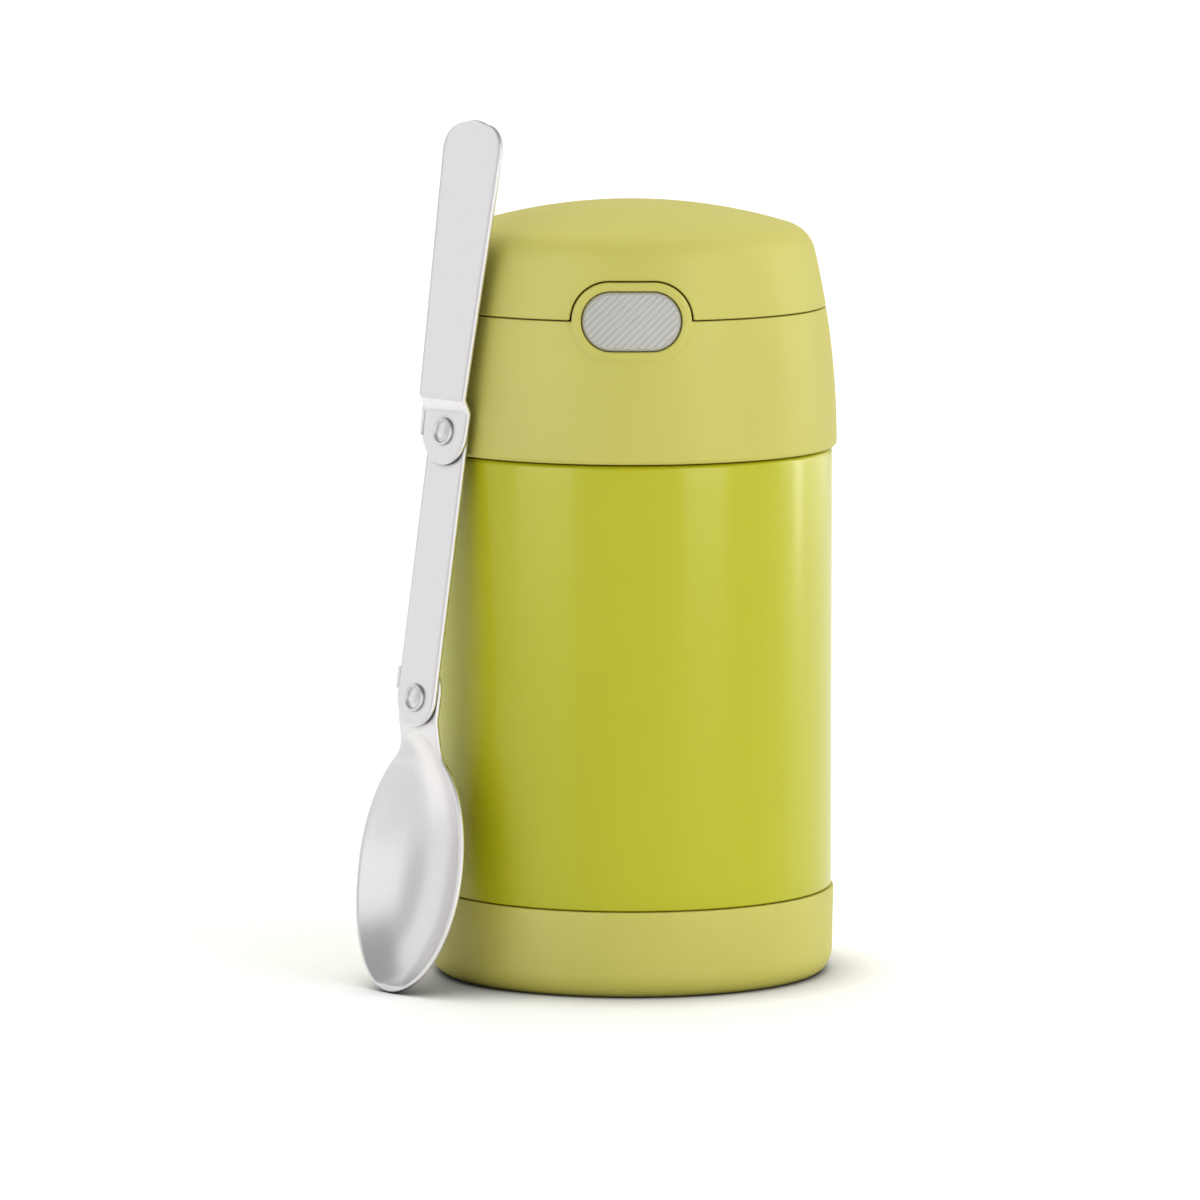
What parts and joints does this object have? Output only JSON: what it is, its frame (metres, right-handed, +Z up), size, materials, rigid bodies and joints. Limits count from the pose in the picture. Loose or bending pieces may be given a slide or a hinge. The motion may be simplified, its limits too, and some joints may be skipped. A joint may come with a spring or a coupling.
{
  "type": "insulated food jar",
  "caption": "Round vacuum-walled food jar with a screw lid, a push-button flip top over a spoon bay, a rubber-like base boot and a steel folding spoon leaning beside it.",
  "frame": {"origin": "on the jar's axis at the flat foot of the base boot, where it stands", "axes": "+Z up along the jar's axis, -Y towards the push button, +Y towards the lid's hinge, +X to the right seen from the button"},
  "size_m": [0.1061, 0.091, 0.1904],
  "materials": {
    "glossy_lime_paint": "gloss",
    "matte_lime_plastic": "matte",
    "grey_plastic": "matte",
    "pale_plastic": "satin",
    "stainless_steel": "satin",
    "sealant": "gloss",
    "silicone": "matte",
    "foam": "matte"
  },
  "bodies": {
    "jar": {"outer_shell": "glossy_lime_paint", "inner_liner": "stainless_steel", "shell_bottom": "stainless_steel", "vacuum_seal": "sealant", "vacuum_getter": "stainless_steel", "base_boot": "matte_lime_plastic"},
    "lid_carrier": {"lid_seal": "silicone"},
    "lid": {"stopper": "pale_plastic", "stopper_foam": "foam", "lid_collar": "matte_lime_plastic", "spoon_tray": "pale_plastic", "latch_housing": "pale_plastic", "button_spring": "stainless_steel", "hinge_pin": "stainless_steel", "hinge_spring": "stainless_steel"},
    "button": {"push_button": "grey_plastic", "latch_slider": "pale_plastic"},
    "flip": {"flip_cover": "matte_lime_plastic", "flip_liner": "pale_plastic"},
    "bowl": {"spoon_bowl": "stainless_steel", "lower_rivet": "stainless_steel"},
    "link": {"spoon_link": "stainless_steel", "upper_rivet": "stainless_steel"},
    "handle": {"spoon_handle": "stainless_steel"}
  },
  "joints": [
    {"name": "lid_lift", "type": "slide", "parent": "jar", "child": "lid_carrier", "axis": [0, 0, 1], "range_m": [0, 0.04]},
    {"name": "lid_turn", "type": "hinge", "parent": "lid_carrier", "child": "lid", "pos_m": [0, 0, 0], "axis": [0, 0, 1], "range_deg": [0, 1800]},
    {"name": "flip_open", "type": "hinge", "parent": "lid", "child": "flip", "pos_m": [0, 0.0424, 0.148], "axis": [-1, 0, 0], "range_deg": [0, 100], "deforming": ["hinge_spring"]},
    {"name": "button_press", "type": "slide", "parent": "lid", "child": "button", "axis": [0, 1, 0], "range_m": [0, 0.002], "stiffness_N_per_m": 1500, "springref_m": -0.001, "deforming": ["button_spring"]},
    {"name": "spoon_aside", "type": "slide", "parent": "jar", "child": "bowl", "axis": [-0.757, -0.6534, 0], "range_m": [0, 0.008]},
    {"name": "fold_lower", "type": "hinge", "parent": "bowl", "child": "link", "pos_m": [-0.04722, -0.03135, 0.06466], "axis": [0.7485, 0.6461, -0.1495], "range_deg": [0, 180]},
    {"name": "fold_upper", "type": "hinge", "parent": "link", "child": "handle", "pos_m": [-0.04006, -0.02626, 0.1225], "axis": [0.7485, 0.6461, -0.1495], "range_deg": [0, 180]}
  ],
  "couplings": [
    {"joint": "lid_lift", "follows": "lid_turn", "m_per_rad": 0.0012732},
    {"joint": "spoon_aside", "follows": "lid_turn", "m_per_rad": 0.00025465}
  ]
}
